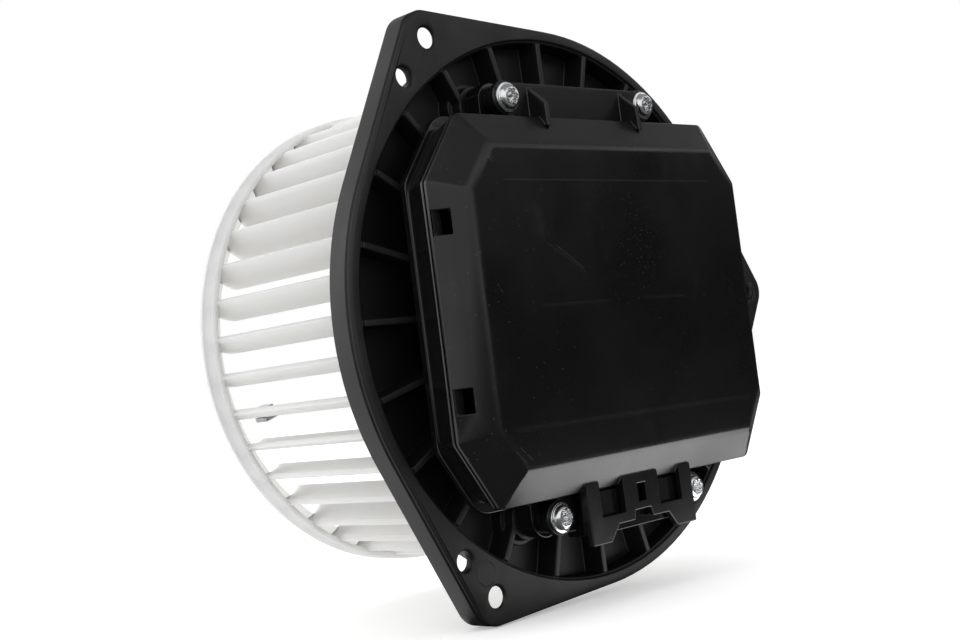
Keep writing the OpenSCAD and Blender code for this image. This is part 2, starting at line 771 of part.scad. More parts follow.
module cover_shell_inner() hull() {
    slab(skirt_x - 1, cover_edge_x - cover_wall * 0.4) polygon(octagon(cover_wall));
    slab(inner_top - 1.2, inner_top - 1.2 + eps) polygon(octagon(plateau_inset - 1.2));
    slab(inner_top - eps, inner_top) polygon(octagon(plateau_inset + 1));
}

module cover_ear_plate() {
    for (s = [-1, 1]) translate([s * screw_y, screw_z]) circle(cover_ear_r);
    translate([-screw_y, cover_half_h - reach])
        square([2 * screw_y, screw_z + ear_edge - cover_half_h + reach]);
}

// Guard plate: a prong on each side, a tie bar and a middle post, with its z measured downwards
module guard_outline() mirror([0, 1]) difference() {
    tie_z = guard_low_z - tie_rise;
    notch_z = guard_low_z - tie_notch_rise;
    root_z = cover_half_h - guard_root;
    polygon([[-guard_half_w, root_z], [-guard_half_w, guard_low_z], [foot_ends[0], guard_low_z],
             [tie_ends[0], tie_z], [tie_notch[0], tie_z], [tie_notch[0] + tie_notch_slope, notch_z],
             [tie_notch[1] - tie_notch_slope, notch_z], [tie_notch[1], tie_z], [tie_ends[1], tie_z],
             [foot_ends[1], guard_low_z], [guard_half_w, guard_low_z], [guard_half_w, root_z]]);
    for (s = [0, 1]) mirror([s, 0]) translate([post_half_w, 0])
        square([prong_inner - post_half_w, slot_low_z]);
    translate([-guard_window[0] / 2, guard_window_z - guard_window[1] / 2]) square(guard_window);
}

module connector_guard() {
    back = guard_front_x - guard_t;
    root = -cover_half_h + guard_root;
    slab(back, guard_front_x) guard_outline();
    // side walls running back from the prongs and the post
    for (s = [0, 1]) mirror([0, s, 0]) {
        block([skirt_x, back + eps], [guard_half_w - prong_wall_t, guard_half_w], [-guard_low_z + 3, root]);
        block([header_x[1] + gap, back + eps], [post_half_w - post_wall_t, post_half_w],
              [-slot_low_z, root]);
    }
}

module gusset(y) translate([0, y + gusset_t / 2, 0]) rotate([90, 0, 0]) linear_extrude(gusset_t)
    polygon([[cover_ear_back, cover_half_h - 1], [cover_ear_back, screw_z + ear_edge - 1.4],
             [ear_front_x, screw_z + ear_edge - 1.4], [ear_front_x + gusset_rise, screw_z - 2.2],
             [ear_front_x + gusset_rise + 0.4, cover_half_h - 3.4], [cover_edge_x - 1, cover_half_h - 1]]);

module controller_cover() color([0.1, 0.1, 0.11]) difference() {
    union() {
        difference() {
            union() {
                cover_shell_outer();
                // deeper sides that carry the ears
                for (s = [0, 1]) mirror([0, 0, s])
                    block([cover_ear_back, skirt_x + eps], [gap - notch_half_w, notch_half_w - gap],
                          [cover_half_h - cover_wall, cover_half_h]);
            }
            cover_shell_inner();
        }
        slab(cover_ear_back, ear_front_x) {
            cover_ear_plate();
            mirror([0, 1]) difference() {
                cover_ear_plate();
                translate([-guard_half_w, 0]) square([2 * guard_half_w, 2 * screw_z]);
            }
        }
        for (y = [-gusset_y, gusset_y]) gusset(y);
        at_cover_screws() rod(base_ear_front + 0.1, cover_ear_back + eps, sleeve_r);
        connector_guard();
    }
    at_cover_screws() rod(base_ear_front - reach, ear_front_x + reach, screw_r + gap);
    for (s = [-1, 1], side = [0, 1]) mirror([0, side, 0])
        block([window_x, window_x + window_rise], [cover_half_w - window_reach, cover_half_w + reach],
              [s * window_z - window_w / 2, s * window_z + window_w / 2]);
    // room for the connector shell
    block([notch_x, header_x[1] + gap], [-header_half_w - gap, header_half_w + gap],
          [-guard_low_z, -cover_half_h + cover_wall + 1]);
}

module cover_screws() color([0.75, 0.76, 0.78]) at_cover_screws() difference() {
    union() {
        rod(screw_tip, ear_front_x, screw_r);
        rod(ear_front_x, ear_front_x + screw_flange_t, screw_flange_r);
        turned() polygon(concat(
            [[0, ear_front_x]], [for (p = screw_head) [screw_r + p[0], ear_front_x + p[1]]],
            [[0, ear_front_x + screw_head_h]]));
    }
    slab(ear_front_x + screw_recess_x, ear_front_x + screw_head_h + reach) torx_outline(screw_r + 0.2);
}

// The pins' blocks along Z, grown on their sides
module pins(z, grow) {
    x = [board_top + pin_room - grow, board_top + pin_room + pin_t + grow];
    wide = wide_pin_w / 2 + grow;
    narrow = narrow_pin_w / 2 + grow;
    for (y = wide_pins) block(x, [y - wide, y + wide], z);
    for (y = narrow_pins) block(x, [y - narrow, y + narrow], z);
}

module connector_header() color([0.13, 0.13, 0.14]) difference() {
    union() {
        block(header_x, [-header_half_w, header_half_w], [-header_z[0], -header_z[1]]);
        // tongue into the base's wall
        block([notch_x + 0.1, base_rim_top - 0.1], [reach - header_half_w, header_half_w - reach],
              [-header_z[1] - eps, -cover_half_h + tongue_len - 1.5]);
    }
    for (s = [0, 1]) mirror([0, s, 0])
        block([header_x[0] + header_wall, header_x[1] - header_wall],
              [cavity_rib, header_half_w - header_wall], [-header_z[0] - reach, -header_z[0] + cavity_depth]);
    pins([-guard_low_z, -cover_half_h + 2 * tongue_len], pin_room);
}

module connector_pins() color([0.8, 0.78, 0.6]) pins([-pin_end_z, -pin_root_z], 0);

// Shaft with a clip groove at its tail and bevelled ends
module motor_shaft() color([0.78, 0.79, 0.8]) turned() polygon([
    [0, shaft_tip], [shaft_r - 0.8, shaft_tip], [shaft_r, shaft_tip + 0.8],
    [shaft_r, clip_x - 0.05], [clip_groove_r, clip_x - 0.05],
    [clip_groove_r, clip_x + clip_t + 0.05], [shaft_r, clip_x + clip_t + 0.05],
    [shaft_r, shaft_tail - 0.6], [shaft_r - 0.6, shaft_tail], [0, shaft_tail]]);

module rotor_cup() color([0.6, 0.61, 0.63]) difference() {
    turned() polygon([
        [cup_in, cup_mouth], [cup_out + cup_lip, cup_mouth], [cup_out + cup_lip, cup_mouth - 1.4],
        [cup_out, cup_mouth - 1.4],
        [cup_out, cup_end + 2], [cup_out - 0.6, cup_end + 0.6], [cup_out - 2, cup_end],
        [rotor_hub_r + snug, cup_end], [rotor_hub_r + snug, cup_floor], [cup_in, cup_floor]]);
    for (i = [0 : 5]) rod(cup_end - reach, cup_floor + reach, cup_hole_r, polar(i * 60, cup_hole_circle_r));
}

module rotor_magnets() color([0.2, 0.2, 0.21])
    slab(stack_end - magnet_overhang, stack_start + magnet_overhang) difference() {
    circle(magnet_out);
    circle(magnet_in);
}

module rotor_hub() color([0.66, 0.67, 0.69]) difference() {
    union() {
        rod(cup_floor + 0.05, rotor_hub_start, rotor_hub_flange_r);
        rod(rotor_hub_end, rotor_hub_start, rotor_hub_r);
    }
    rod(rotor_hub_end - reach, rotor_hub_start + reach, shaft_r + snug);
}

module thrust_washers() color([0.9, 0.88, 0.8]) {
    for (x0 = [tail_washer_x, tube_end - 0.1 - washer_t]) slab(x0, x0 + washer_t) difference() {
        circle(washer_r);
        circle(shaft_r + snug);
    }
}

module retaining_clip() color([0.3, 0.3, 0.32]) slab(clip_x, clip_x + clip_t) difference() {
    circle(washer_r);
    circle(clip_groove_r + snug);
    translate([-clip_groove_r, 0]) square([2 * clip_groove_r, washer_r + reach]);
    for (a = [20, 160, 270]) rotate(a) translate([clip_groove_r + 0.6, -1]) square([1.4, 2]);
}

// Wheel: back disc, domed hub, blades and inlet band in one moulding
function blade_len() = let (b = blade_inner_r * cos(blade_stagger))
    sqrt(b * b + pow(blade_outer_r, 2) - pow(blade_inner_r, 2)) - b;
function blade_curve_r() = pow(blade_len() / 2, 2) / (2 * blade_camber) + blade_camber / 2;
function blade_point(u, side) =
    let (r = blade_curve_r(), half = asin(blade_len() / 2 / r), a = u * half, rr = r + side * blade_t / 2,
         along = [cos(blade_stagger), -sin(blade_stagger)],
         across = [sin(blade_stagger), cos(blade_stagger)])
    [blade_inner_r, 0] + along * (blade_len() / 2 + rr * sin(a)) + across * (rr * cos(a) - r * cos(half));

module blades_2d() {
    steps = 6;
    side_points = concat([for (i = [0 : steps]) blade_point(2 * i / steps - 1, 1)],
                         [for (i = [steps : -1 : 0]) blade_point(2 * i / steps - 1, -1)]);
    for (i = [0 : blade_count - 1]) rotate(i * 360 / blade_count) polygon(side_points);
}

function dome(t, shrink) = [
    hub_flat_r - shrink * 0.3 + (disc_inner_r + 2 - hub_flat_r - shrink * 0.7) * cos(t),
    -hub_rise_x - (hub_end - hub_rise_x - shrink) * sin(t)];

module fan_wheel() color([0.9, 0.9, 0.87]) difference() {
    union() {
        slab(-blade_end, -wheel_start - disc_t / 2) blades_2d();
        turned() polygon([
            [wheel_r - band_t, band_len - wheel_end], [wheel_r - band_t, band_edge - wheel_end],
            [wheel_r - band_t + band_edge, -wheel_end], [wheel_r - band_edge, -wheel_end],
            [wheel_r, band_edge - wheel_end], [wheel_r, band_len - wheel_end]]);
        slab(-wheel_start - disc_t, -wheel_start) difference() {
            circle(wheel_r);
            circle(disc_inner_r);
        }
        turned() polygon(concat(
            [for (t = [0 : 7.5 : 90]) dome(t, 0)], [[0, -hub_end], [0, -hub_end + hub_wall]],
            [for (t = [90 : -7.5 : 0]) dome(t, hub_wall)]));
        rod(-boss_end, rotor_hub_end - 0.1, boss_r);
    }
    rod(-boss_end - reach, 0, shaft_r + snug);
}

module wheel_washer() color([0.7, 0.71, 0.73]) slab(-boss_end - 1.1, -boss_end - 0.1) difference() {
    circle(boss_r - 1);
    circle(shaft_r + snug);
}

module wheel_nut() color([0.75, 0.76, 0.78]) difference() {
    slab(nut_start - nut_len, nut_start) circle(nut_flats / 2 / cos(30), $fn = 6);
    rod(nut_start - nut_len - reach, nut_start + reach, shaft_r + snug);
}

module balance_clip() color([0.4, 0.4, 0.42]) rotate([balance_blade * 360 / blade_count, 0, 0])
    slab(balance_x, balance_x + balance_len) translate([blade_inner_r - balance_out, 0]) difference() {
        half_slot = blade_t / 2 + balance_room;
        translate([0, -half_slot - balance_thin])
            square([balance_out + balance_grip, 2 * half_slot + balance_thin + balance_thick]);
        translate([balance_thin, -half_slot]) square([balance_out + balance_grip, 2 * half_slot]);
    }

mounting_flange();
stator_carrier();
carrier_grommets();
carrier_screws();
rear_bearing();
front_bearing();
stator_core();
stator_insulators();
stator_windings();
phase_terminals();
controller_base();
heat_sink();
heat_sink_screws();
power_transistors();
circuit_board();
board_screws();
capacitors();
choke_core();
choke_winding();
cover_seal();
controller_cover();
cover_screws();
connector_header();
connector_pins();
motor_shaft();
rotor_cup();
rotor_magnets();
rotor_hub();
thrust_washers();
retaining_clip();
fan_wheel();
wheel_washer();
wheel_nut();
balance_clip();
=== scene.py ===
"""Car cabin blower motor: finishes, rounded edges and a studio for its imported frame."""

import json
import math

import bpy
from bpy.props import FloatProperty, FloatVectorProperty, PointerProperty
from bpy.types import Operator, Panel, PropertyGroup
from mathutils import Matrix, Vector


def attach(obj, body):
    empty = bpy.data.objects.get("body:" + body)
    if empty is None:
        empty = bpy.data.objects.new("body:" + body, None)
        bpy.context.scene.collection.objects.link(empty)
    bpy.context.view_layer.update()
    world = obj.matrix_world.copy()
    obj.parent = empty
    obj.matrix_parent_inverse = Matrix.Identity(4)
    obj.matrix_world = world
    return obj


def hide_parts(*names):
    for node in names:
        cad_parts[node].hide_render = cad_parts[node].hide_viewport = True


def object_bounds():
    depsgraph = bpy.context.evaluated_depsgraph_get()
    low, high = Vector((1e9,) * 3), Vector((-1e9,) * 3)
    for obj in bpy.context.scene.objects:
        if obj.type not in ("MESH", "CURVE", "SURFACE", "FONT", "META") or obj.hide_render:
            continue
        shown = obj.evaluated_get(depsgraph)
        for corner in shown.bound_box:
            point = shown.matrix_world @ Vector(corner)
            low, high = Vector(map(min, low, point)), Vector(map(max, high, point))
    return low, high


bl_info = {
    "name": "Cabin Blower",
    "version": (1, 0, 0),
    "blender": (4, 2, 0),
    "location": "3D View > Sidebar > Blower",
    "description": "Dresses a car cabin blower motor with its finishes and sets its studio",
    "category": "Object",
}

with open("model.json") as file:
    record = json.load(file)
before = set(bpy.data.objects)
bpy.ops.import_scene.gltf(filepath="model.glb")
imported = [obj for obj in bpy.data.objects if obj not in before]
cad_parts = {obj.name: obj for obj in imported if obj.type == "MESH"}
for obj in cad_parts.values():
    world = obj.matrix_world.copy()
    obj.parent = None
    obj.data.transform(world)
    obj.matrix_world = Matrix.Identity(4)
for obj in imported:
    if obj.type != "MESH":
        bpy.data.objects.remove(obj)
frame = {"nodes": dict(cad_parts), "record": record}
CAD_LOW, CAD_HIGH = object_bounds()
NODES = frame["nodes"]
BODY_OF = {n: b for b, members in frame["record"]["behaviour"]["bodies"].items() for n in members}
SLOT_OF = {s["node"]: s["material_slot"] for s in frame["record"]["subparts"]}

MM = 0.001
FLANGE_R = 84 * MM
COVER_TOP_X = 22.7 * MM
COVER_EDGE_X = 15.9 * MM
LIP_X = -86.2 * MM
LIP_T = 1.4 * MM
BLADE_END_X = -84 * MM
BAND_INNER_R = 73 * MM
LIP_INNER_R = 68.2 * MM


class BlowerFinish(PropertyGroup):
    """Colours and surface values of the blower's finishes."""

    flange_colour: FloatVectorProperty(
        name="Flange", description="Colour of the black flange and base", subtype="COLOR", size=3,
        min=0, max=1, default=(0.0035, 0.0035, 0.0037))
    cover_colour: FloatVectorProperty(
        name="Cover", description="Colour of the controller's cover", subtype="COLOR", size=3,
        min=0, max=1, default=(0.003, 0.003, 0.0032))
    wheel_colour: FloatVectorProperty(
        name="Wheel", description="Colour of the milky fan wheel", subtype="COLOR", size=3,
        min=0, max=1, default=(0.67, 0.666, 0.641))
    zinc_colour: FloatVectorProperty(
        name="Zinc", description="Colour of the zinc-plated screws and nut", subtype="COLOR", size=3,
        min=0, max=1, default=(0.82, 0.83, 0.84))
    flange_roughness: FloatProperty(
        name="Flange roughness", description="Roughness of the flange's mould texture",
        subtype="FACTOR", min=0, max=1, default=0.5)
    cover_roughness: FloatProperty(
        name="Cover roughness", description="Roughness of the cover's smoother face",
        subtype="FACTOR", min=0, max=1, default=0.3)
    wheel_roughness: FloatProperty(
        name="Wheel roughness", description="Roughness of the fan wheel", subtype="FACTOR",
        min=0, max=1, default=0.42)
    # Wear also scales the paler colour on the flange's front face, which is painted light.
    wear: FloatProperty(
        name="Wear", description="How strongly scuffs, dust and rubbed edges show", subtype="FACTOR",
        min=0, max=1, default=0.5)


class BlowerEdges(PropertyGroup):
    """Radii of the rounded edges."""

    flange_rim: FloatProperty(
        name="Flange rim", description="Rounding of the flange's outer front edge", unit="LENGTH",
        min=0, max=0.002, default=0.0009)
    moulding: FloatProperty(
        name="Mouldings", description="Rounding of the other edges of the black mouldings", unit="LENGTH",
        min=0, max=0.001, default=0.00035)
    plateau: FloatProperty(
        name="Plateau", description="Rounding of the cover's raised face", unit="LENGTH",
        min=0, max=0.004, default=0.0016)
    ridge: FloatProperty(
        name="Ridges", description="Rounding of the ridges between the cover's slopes", unit="LENGTH",
        min=0, max=0.002, default=0.0007)
    screw: FloatProperty(
        name="Screws", description="Rounding of the edges of the screw heads", unit="LENGTH",
        min=0, max=0.0005, default=0.00015)
    wheel: FloatProperty(
        name="Wheel", description="Rounding of the edges of the fan wheel", unit="LENGTH",
        min=0, max=0.001, default=0.0003)


class BlowerStudio(PropertyGroup):
    """Lamps, cards and camera."""

    ambient: FloatProperty(
        name="Ambient", description="Brightness of the surroundings as the surfaces see it",
        min=0, max=2, default=1.0)
    key: FloatProperty(
        name="Side box", description="Radiance of the soft box behind on the left", min=0, max=10, default=1.15)
    fill: FloatProperty(
        name="Side fill", description="Radiance with which the side box lights matt surfaces", min=0, max=10,
        default=0.15)
    low_fill: FloatProperty(
        name="Low fill", description="Light that the table under the wheel throws back", min=0, max=10,
        default=0.3)
    table: FloatProperty(
        name="Table", description="How light the table behind the flange is in reflections", min=0, max=10,
        default=1.1)
    top: FloatProperty(
        name="Top box", description="Radiance of the soft box above", min=0, max=10, default=0.4)
    low_panel: FloatProperty(
        name="Low panel", description="Radiance of the lit table in reflections", min=0, max=10, default=3.0)
    roof: FloatProperty(
        name="Roof card", description="Radiance of the grey card overhead in reflections", min=0, max=2,
        default=0.25)
    floor_gloss: FloatProperty(
        name="Floor in reflections", description="How light the floor is in reflections", min=0, max=1,
        default=0.12)
    lens: FloatProperty(
        name="Lens", description="Focal length of the camera in millimetres", min=10, max=300, default=53.36)


def looks():
    return bpy.context.scene.blower_finish


def edges():
    return bpy.context.scene.blower_edges


def studio():
    return bpy.context.scene.blower_studio


# Materials

def node(tree, kind, **values):
    """Adds a shader node; names of sockets and of settings are given as values."""
    made = tree.nodes.new(kind)
    for name, value in values.items():
        key = name.replace("_", " ")
        if key in made.inputs:
            made.inputs[key].default_value = value
        elif name in made.inputs:
            made.inputs[name].default_value = value
        else:
            setattr(made, name, value)
    return made


def start(name, colour, roughness, metallic=0.0):
    """A new material with its shader, and the object's own coordinates."""
    material = bpy.data.materials.new(name)
    material.use_nodes = True
    tree = material.node_tree
    tree.nodes.clear()
    shader = tree.nodes.new("ShaderNodeBsdfPrincipled")
    output = tree.nodes.new("ShaderNodeOutputMaterial")
    tree.links.new(shader.outputs["BSDF"], output.inputs["Surface"])
    shader.inputs["Base Color"].default_value = (*colour, 1)
    shader.inputs["Roughness"].default_value = roughness
    shader.inputs["Metallic"].default_value = metallic
    material.diffuse_color = (*colour, 1)
    material["shader"] = shader.name
    place = tree.nodes.new("ShaderNodeTexCoord").outputs["Object"]
    return material, tree, shader, place


def stretched(tree, place, scale, turn=(0, 0, 0), shift=(0, 0, 0)):
    """Coordinates scaled differently along each axis, and turned."""
    mapping = tree.nodes.new("ShaderNodeMapping")
    mapping.inputs["Scale"].default_value = scale
    mapping.inputs["Rotation"].default_value = turn
    mapping.inputs["Location"].default_value = shift
    tree.links.new(place, mapping.inputs["Vector"])
    return mapping.outputs["Vector"]


def noise(tree, place, scale, detail=3.0, distortion=0.0):
    made = tree.nodes.new("ShaderNodeTexNoise")
    made.inputs["Scale"].default_value = scale
    made.inputs["Detail"].default_value = detail
    made.inputs["Distortion"].default_value = distortion
    tree.links.new(place, made.inputs["Vector"])
    return made.outputs["Fac"]


def specks(tree, place, scale, size):
    """White where a scattered speck lies, from the distance to the nearest random point."""
    made = tree.nodes.new("ShaderNodeTexVoronoi")
    made.inputs["Scale"].default_value = scale
    tree.links.new(place, made.inputs["Vector"])
    return span(tree, made.outputs["Distance"], size, 0.0)


def span(tree, value, low, high, to_low=0.0, to_high=1.0):
    """Maps a value from one range to another, clamped, with soft ends."""
    made = tree.nodes.new("ShaderNodeMapRange")
    made.interpolation_type = "SMOOTHSTEP"
    for name, number in zip(("From Min", "From Max", "To Min", "To Max"), (low, high, to_low, to_high)):
        made.inputs[name].default_value = number
    tree.links.new(value, made.inputs["Value"])
    return made.outputs["Result"]


def sums(tree, operation, first, second):
    made = tree.nodes.new("ShaderNodeMath")
    made.operation = operation
    for socket, value in zip(made.inputs, (first, second)):
        if isinstance(value, (int, float)):
            socket.default_value = value
        else:
            tree.links.new(value, socket)
    return made.outputs["Value"]


def blended(tree, share, first, second):
    """Colour that goes from the first to the second with the share."""
    made = tree.nodes.new("ShaderNodeMix")
    made.data_type = "RGBA"
    ends = [s for s in made.inputs if s.type == "RGBA"]
    tree.links.new(share, made.inputs["Factor"])
    for socket, value in zip(ends, (first, second)):
        if isinstance(value, tuple):
            socket.default_value = (*value, 1)
        else:
            tree.links.new(value, socket)
    return next(s for s in made.outputs if s.type == "RGBA")


def bumps(tree, shader, heights):
    """Chains bump nodes; each height comes with its depth in metres."""
    last = None
    for height, depth in heights:
        made = tree.nodes.new("ShaderNodeBump")
        made.inputs["Distance"].default_value = depth
        tree.links.new(height, made.inputs["Height"])
        if last is not None:
            tree.links.new(last, made.inputs["Normal"])
        last = made.outputs["Normal"]
    tree.links.new(last, shader.inputs["Normal"])


def dented(tree, shader, height, depth):
    """Adds marks of a depth in metres on top of the bumps that a shader has."""
    made = tree.nodes.new("ShaderNodeBump")
    made.inputs["Distance"].default_value = depth
    tree.links.new(height, made.inputs["Height"])
    tree.links.new(shader.inputs["Normal"].links[0].from_socket, made.inputs["Normal"])
    tree.links.new(made.outputs["Normal"], shader.inputs["Normal"])


def edge_share(tree, radius):
    """White on sharp edges, from the difference between the rounded and the plain normal."""
    rounded = tree.nodes.new("ShaderNodeBevel")
    rounded.samples = 4
    rounded.inputs["Radius"].default_value = radius
    plain = tree.nodes.new("ShaderNodeNewGeometry")
    dot = tree.nodes.new("ShaderNodeVectorMath")
    dot.operation = "DOT_PRODUCT"
    tree.links.new(rounded.outputs["Normal"], dot.inputs[0])
    tree.links.new(plain.outputs["Normal"], dot.inputs[1])
    return span(tree, dot.outputs["Value"], 0.98, 0.8)


def coordinate(tree, place, axis):
    made = tree.nodes.new("ShaderNodeSeparateXYZ")
    tree.links.new(place, made.inputs["Vector"])
    return made.outputs[axis]


def brighter(colour, factor):
    return tuple(min(1.0, c * factor) for c in colour)


def black_plastic(name, colour, roughness, grain, dust=0.3):
    """Moulded black plastic: fine mould texture, slow waviness, scuffs and a little dust."""
    material, tree, shader, place = start(name, colour, roughness)
    wear = looks().wear
    texture = noise(tree, place, grain, 2.0)
    waves = noise(tree, place, 45.0, 2.0)
    patches = noise(tree, place, 28.0, 5.0, 0.4)
    scuffs = noise(tree, stretched(tree, place, (900, 60, 40), (0.3, 0.5, 0.9)), 1.0, 4.0)
    scuffed = sums(tree, "MULTIPLY", span(tree, scuffs, 0.62, 0.8), wear)
    lightened = sums(tree, "MULTIPLY", specks(tree, place, 420.0, 0.12), dust * wear)
    worn = sums(tree, "MULTIPLY", edge_share(tree, 0.0006), 0.5 * wear)
    marks = sums(tree, "MAXIMUM", scuffed, worn)
    base = blended(tree, patches, brighter(colour, 0.8), brighter(colour, 1.25))
    marked = blended(tree, marks, base, brighter(colour, 3.5))
    dusted = blended(tree, lightened, marked, (0.12, 0.12, 0.115))
    tree.links.new(dusted, shader.inputs["Base Color"])
    uneven = span(tree, patches, 0.3, 0.7, roughness - 0.05, roughness + 0.06)
    tree.links.new(sums(tree, "ADD", uneven, sums(tree, "MULTIPLY", marks, 0.12)), shader.inputs["Roughness"])
    bumps(tree, shader, [(waves, 0.00005), (texture, 0.000012)])
    return material, tree, shader, place


def plain_metal(name, colour, roughness, stretch=(60, 60, 60), grain=900.0, marks=0.3):
    """Bare or plated metal: fine lines or grain, cloudy patches and dull spots."""
    material, tree, shader, place = start(name, colour, roughness, 1.0)
    lines = noise(tree, stretched(tree, place, stretch), 12.0, 3.0)
    cloud = noise(tree, place, 220.0, 4.0)
    fine = noise(tree, place, grain, 2.0)
    spots = sums(tree, "MULTIPLY", span(tree, cloud, 0.58, 0.75), marks)
    base = blended(tree, spots, colour, brighter(colour, 0.6))
    tree.links.new(base, shader.inputs["Base Color"])
    uneven = span(tree, lines, 0.3, 0.7, roughness - 0.05, roughness + 0.07)
    tree.links.new(sums(tree, "ADD", uneven, sums(tree, "MULTIPLY", spots, 0.3)), shader.inputs["Roughness"])
    bumps(tree, shader, [(lines, 0.000006), (fine, 0.000004)])
    return material


def wire_wrap(name, colour, pitch):
    """Enamelled wire laid side by side, as lines across X."""
    material, tree, shader, place = start(name, colour, 0.32, 0.85)
    turns = tree.nodes.new("ShaderNodeTexWave")
    turns.wave_profile = "SIN"
    turns.inputs["Scale"].default_value = 0.314 / pitch
    turns.inputs["Distortion"].default_value = 0.4
    turns.inputs["Detail Scale"].default_value = 40.0
    tree.links.new(place, turns.inputs["Vector"])
    cloud = noise(tree, place, 300.0, 3.0)
    tree.links.new(blended(tree, cloud, brighter(colour, 0.7), brighter(colour, 1.15)), shader.inputs["Base Color"])
    tree.links.new(span(tree, cloud, 0.3, 0.7, 0.26, 0.4), shader.inputs["Roughness"])
    bumps(tree, shader, [(turns.outputs["Fac"], 0.00012)])
    return material


EJECTOR_MARKS = ((-45.2, 71.3), (-48.2, -71.4))


def ring_mark(tree, place, centre, radius):
    """White along a thin circle in the plane across X, in millimetres."""
    vector = across_plane(tree, place, 0.0, centre)
    length = sums(tree, "ADD", *[sums(tree, "POWER", coordinate(tree, vector, axis), 2.0) for axis in "YZ"])
    away = sums(tree, "SUBTRACT", sums(tree, "SQRT", length, 0), radius)
    return span(tree, sums(tree, "ABSOLUTE", away, 0), 0.25, 0.0)


def flange_plastic():
    colour = tuple(looks().flange_colour)
    material, tree, shader, place = black_plastic("flange_plastic", colour, looks().flange_roughness, 2600.0)
    # Everything at or in front of the flange's face plane gets a paler, patchy colour, so that the face renders lighter
    # than the sunken bowl and the back: painted light, scaled by the wear value.
    face = span(tree, coordinate(tree, place, "X"), -0.4 * MM, -0.05 * MM)
    face_light = sums(tree, "MULTIPLY", face, span(tree, noise(tree, place, 60.0, 4.0, 0.6), 0.35, 0.65, 0.45, 1.0))
    before = shader.inputs["Base Color"].links[0].from_socket
    lightened = blended(tree, sums(tree, "MULTIPLY", face_light, looks().wear), before, (0.02, 0.02, 0.0195))
    tree.links.new(lightened, shader.inputs["Base Color"])
    rings = sums(tree, "MAXIMUM", *[ring_mark(tree, place, centre, 3.4) for centre in EJECTOR_MARKS])
    dented(tree, shader, sums(tree, "MULTIPLY", rings, face), 0.00006)
    return material


SINK_LINES = (
    ((-37.2, -0.7), (-7.8, -0.7), 0.7),
    ((5.6, -0.6), (27.1, -1.2), 0.7),
    ((-54, -32.5), (54, -34.0), 1.2),
    ((-46, 33.7), (46, 33.5), 0.6),
    ((-32, 16.6), (-16.1, 7.1), 0.5),
)
SCRATCHES = (
    ((-50.2, 40.6), (-48.4, 38.2), 0.2),
    ((-49.6, 41.2), (-47.5, 38.6), 0.14),
    ((-52.3, -36.8), (-47.1, -41.7), 0.16),
    ((-53.2, -38.2), (-48.9, -42.6), 0.12),
    ((-28, 15.6), (-18, 9.0), 0.1),
    ((-52.4, 6.2), (-50.8, 3.4), 0.12),
)
SPECK_GROUPS = (((4.0, 20.0), (24, 20)), ((20.0, -25.0), (9, 9)))


def across_plane(tree, place, turn, centre):
    """Two coordinates in millimetres in the plane across X, from a centre and turned."""
    turned = stretched(tree, place, (1 / MM, 1 / MM, 1 / MM))
    made = tree.nodes.new("ShaderNodeMapping")
    made.vector_type = "TEXTURE"
    made.inputs["Location"].default_value = (0, centre[0], centre[1])
    made.inputs["Rotation"].default_value = (turn, 0, 0)
    tree.links.new(turned, made.inputs["Vector"])
    return made.outputs["Vector"]


def stripe(tree, place, first, last, width):
    """White along a straight line between two points of the plane across X, in millimetres."""
    run = (last[0] - first[0], last[1] - first[1])
    half = math.hypot(*run) / 2
    middle = ((first[0] + last[0]) / 2, (first[1] + last[1]) / 2)
    vector = across_plane(tree, place, math.atan2(run[1], run[0]), middle)
    beside = sums(tree, "ABSOLUTE", coordinate(tree, vector, "Z"), 0)
    along = sums(tree, "ABSOLUTE", coordinate(tree, vector, "Y"), 0)
    return sums(tree, "MULTIPLY", span(tree, beside, width, 0.0), span(tree, along, half, half - width * 3))


def patch(tree, place, centre, size):
    """White in a soft-edged oval of the plane across X, in millimetres."""
    vector = across_plane(tree, place, 0.0, centre)
    shares = [sums(tree, "DIVIDE", coordinate(tree, vector, axis), s) for axis, s in zip("YZ", size)]
    squares = [sums(tree, "MULTIPLY", share, share) for share in shares]
    return span(tree, sums(tree, "ADD", *squares), 1.0, 0.4)


def cover_plastic():
    """Satin cover plastic with sink lines over the ribs inside and fine dust."""
    colour = tuple(looks().cover_colour)
    material, tree, shader, place = black_plastic("cover_plastic", colour, looks().cover_roughness, 3200.0, 0.8)
    sunk = None
    for start_at, end_at, width in SINK_LINES:
        line = stripe(tree, place, start_at, end_at, width)
        sunk = line if sunk is None else sums(tree, "MAXIMUM", sunk, line)
    scratched = None
    wobble = noise(tree, place, 900.0, 2.0)
    for start_at, end_at, width in SCRATCHES:
        line = stripe(tree, place, start_at, end_at, width)
        scratched = line if scratched is None else sums(tree, "MAXIMUM", scratched, line)
    scratched = sums(tree, "MULTIPLY", scratched, span(tree, wobble, 0.35, 0.6))
    flecks = specks(tree, place, 900.0, 0.2)
    group = sums(tree, "MAXIMUM", *[patch(tree, place, centre, size) for centre, size in SPECK_GROUPS])
    flecks = sums(tree, "MULTIPLY", flecks, group)
    pale = sums(tree, "MULTIPLY", sums(tree, "MAXIMUM", scratched, flecks), looks().wear)
    before = shader.inputs["Base Color"].links[0].from_socket
    tree.links.new(blended(tree, pale, before, (0.09, 0.09, 0.088)), shader.inputs["Base Color"])
    rough = shader.inputs["Roughness"].links[0].from_socket
    rough = sums(tree, "ADD", rough, sums(tree, "MULTIPLY", sunk, 0.12))
    tree.links.new(sums(tree, "ADD", rough, sums(tree, "MULTIPLY", pale, 0.2)), shader.inputs["Roughness"])
    dented(tree, shader, sums(tree, "ADD", sunk, scratched), 0.00002)
    return material


